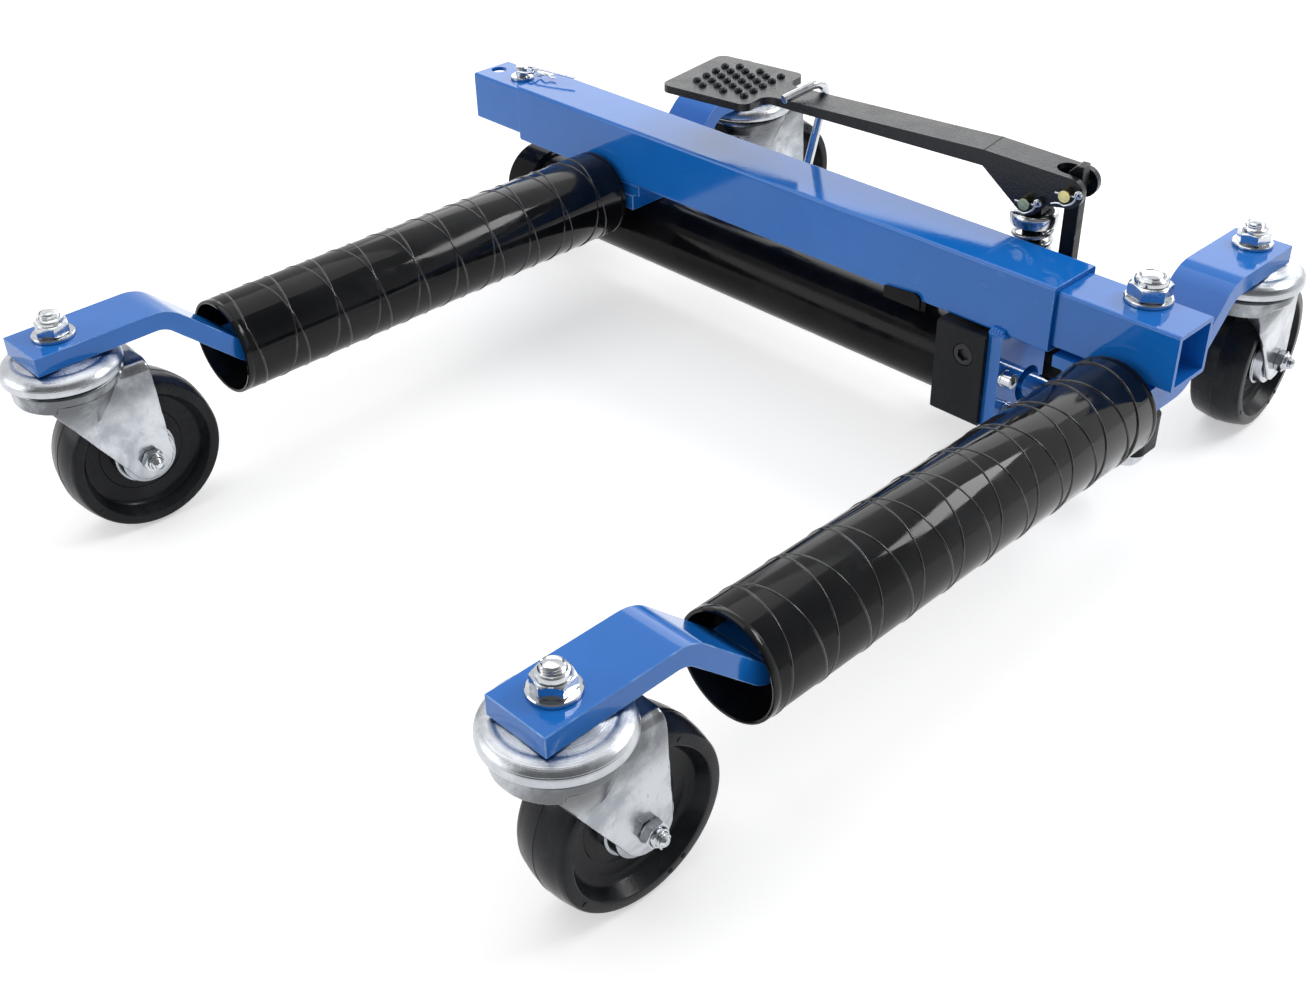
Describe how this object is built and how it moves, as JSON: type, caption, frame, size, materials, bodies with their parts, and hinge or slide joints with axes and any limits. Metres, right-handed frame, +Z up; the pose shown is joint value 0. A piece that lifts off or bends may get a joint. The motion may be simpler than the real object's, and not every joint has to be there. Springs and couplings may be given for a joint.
{
  "type": "vehicle positioning dolly",
  "caption": "Vehicle dolly with a telescoping square beam, long tyre rollers on bent arms, swivel casters and a foot-pumped hydraulic ram that draws the arms together.",
  "frame": {"origin": "on the floor under the middle of the whole dolly", "axes": "+Z up, +X along the beam towards the sliding arm, arms reach towards -Y"},
  "size_m": [0.653, 0.7235, 0.2069],
  "materials": {
    "blue_paint": "gloss",
    "black_paint": "gloss",
    "dark_steel": "satin",
    "zinc": "bright zinc",
    "chrome_rod": "polished",
    "wheel_plastic": "satin",
    "bush_plastic": "matte"
  },
  "bodies": {
    "frame": {"outer_tube": "blue_paint", "left_arm_plate": "blue_paint", "left_front_bar": "blue_paint", "left_rear_bar": "blue_paint", "left_axle": "black_paint", "bracket_plate": "blue_paint", "bracket_screws": "zinc", "cylinder_tube": "black_paint", "cylinder_end_cap": "black_paint", "cylinder_lug": "black_paint", "pump_block": "black_paint", "port_plug": "dark_steel", "rod_gland": "dark_steel", "pump_barrel": "black_paint", "link_base_pin": "dark_steel", "plunger_spring": "dark_steel", "hook_tab": "blue_paint", "left_stem_fasteners": "zinc", "front_left_swivel_head": "zinc", "rear_left_swivel_head": "zinc", "left_swivel_balls": "zinc"},
    "carriage": {"inner_tube": "blue_paint", "right_arm_plate": "blue_paint", "right_front_bar": "blue_paint", "right_rear_bar": "blue_paint", "right_axle": "black_paint", "arm_bolt": "zinc", "arm_bolt_nut": "zinc", "piston_rod": "chrome_rod", "piston": "dark_steel", "right_stem_fasteners": "zinc", "front_right_swivel_head": "zinc", "rear_right_swivel_head": "zinc", "right_swivel_balls": "zinc"},
    "left_roller_body": {"left_roller": "black_paint", "left_roller_bushes": "bush_plastic"},
    "right_roller_body": {"right_roller": "black_paint", "right_roller_bushes": "bush_plastic"},
    "front_left_fork_body": {"front_left_fork": "zinc", "front_left_axle": "zinc"},
    "front_left_wheel_body": {"front_left_wheel": "wheel_plastic"},
    "rear_left_fork_body": {"rear_left_fork": "zinc", "rear_left_axle": "zinc"},
    "rear_left_wheel_body": {"rear_left_wheel": "wheel_plastic"},
    "front_right_fork_body": {"front_right_fork": "zinc", "front_right_axle": "zinc"},
    "front_right_wheel_body": {"front_right_wheel": "wheel_plastic"},
    "rear_right_fork_body": {"rear_right_fork": "zinc", "rear_right_axle": "zinc"},
    "rear_right_wheel_body": {"rear_right_wheel": "wheel_plastic"},
    "link": {"link_bar": "black_paint"},
    "pedal": {"pedal_lever": "black_paint", "pedal_pins": "zinc", "pin_clips": "zinc"},
    "plunger_body": {"plunger": "black_paint", "spring_cap": "zinc"},
    "hook_body": {"hook": "zinc"},
    "lock_pin_body": {"lock_pin": "zinc", "lock_pin_clip": "zinc"},
    "valve": {"release_valve": "zinc"}
  },
  "joints": [
    {"name": "arm_slide", "type": "slide", "parent": "frame", "child": "carriage", "axis": [1, 0, 0], "range_m": [-0.014, 0.009]},
    {"name": "left_roller_spin", "type": "hinge", "parent": "frame", "child": "left_roller_body", "pos_m": [-0.1715, -0.04675, 0.091], "axis": [0, 1, 0], "continuous": true},
    {"name": "right_roller_spin", "type": "hinge", "parent": "carriage", "child": "right_roller_body", "pos_m": [0.2895, -0.04675, 0.091], "axis": [0, 1, 0], "continuous": true},
    {"name": "front_left_swivel", "type": "hinge", "parent": "frame", "child": "front_left_fork_body", "pos_m": [-0.1675, -0.32475, 0.116], "axis": [0, 0, 1], "continuous": true},
    {"name": "front_left_wheel_spin", "type": "hinge", "parent": "front_left_fork_body", "child": "front_left_wheel_body", "pos_m": [-0.16516, -0.29133, 0.052], "axis": [0.9976, -0.0698, 0], "continuous": true},
    {"name": "rear_left_swivel", "type": "hinge", "parent": "frame", "child": "rear_left_fork_body", "pos_m": [-0.1565, 0.27625, 0.116], "axis": [0, 0, 1], "continuous": true},
    {"name": "rear_left_wheel_spin", "type": "hinge", "parent": "rear_left_fork_body", "child": "rear_left_wheel_body", "pos_m": [-0.15475, 0.3097, 0.052], "axis": [0.9986, -0.0523, 0], "continuous": true},
    {"name": "front_right_swivel", "type": "hinge", "parent": "carriage", "child": "front_right_fork_body", "pos_m": [0.2895, -0.32475, 0.116], "axis": [0, 0, 1], "continuous": true},
    {"name": "front_right_wheel_spin", "type": "hinge", "parent": "front_right_fork_body", "child": "front_right_wheel_body", "pos_m": [0.29125, -0.2913, 0.052], "axis": [0.9986, -0.0523, 0], "continuous": true},
    {"name": "rear_right_swivel", "type": "hinge", "parent": "carriage", "child": "rear_right_fork_body", "pos_m": [0.2895, 0.27625, 0.116], "axis": [0, 0, 1], "continuous": true},
    {"name": "rear_right_wheel_spin", "type": "hinge", "parent": "rear_right_fork_body", "child": "rear_right_wheel_body", "pos_m": [0.28658, 0.30962, 0.052], "axis": [0.9962, 0.0872, 0], "continuous": true},
    {"name": "pedal_swing", "type": "hinge", "parent": "link", "child": "pedal", "pos_m": [0.19964, 0.20397, 0.1812], "axis": [-0.1392, 0.9903, 0], "range_deg": [-5, 0], "stiffness_Nm_per_rad": 7, "springref_deg": 28.65},
    {"name": "link_rock", "type": "hinge", "parent": "frame", "child": "link", "pos_m": [0.19964, 0.20397, 0.06], "axis": [-0.1392, 0.9903, 0], "range_deg": [-0.65, 0]},
    {"name": "plunger_slide", "type": "slide", "parent": "frame", "child": "plunger_body", "axis": [0, 0, 1], "range_m": [-0.0027, 0], "deforming": ["plunger_spring"]},
    {"name": "hook_swing", "type": "hinge", "parent": "frame", "child": "hook_body", "pos_m": [-0.0405, 0.19525, 0.118], "axis": [-1, 0, 0], "range_deg": [0, 75]},
    {"name": "lock_pin_lift", "type": "slide", "parent": "carriage", "child": "lock_pin_body", "axis": [0, 0, 1], "range_m": [0, 0.06]},
    {"name": "release_valve_turn", "type": "hinge", "parent": "frame", "child": "valve", "pos_m": [0.1605, 0.17325, 0.092], "axis": [-1, 0, 0], "range_deg": [0, 180]}
  ],
  "couplings": [
    {"joint": "link_rock", "follows": "pedal_swing", "ratio": 0.12295},
    {"joint": "plunger_slide", "follows": "pedal_swing", "m_per_rad": 0.02945}
  ]
}
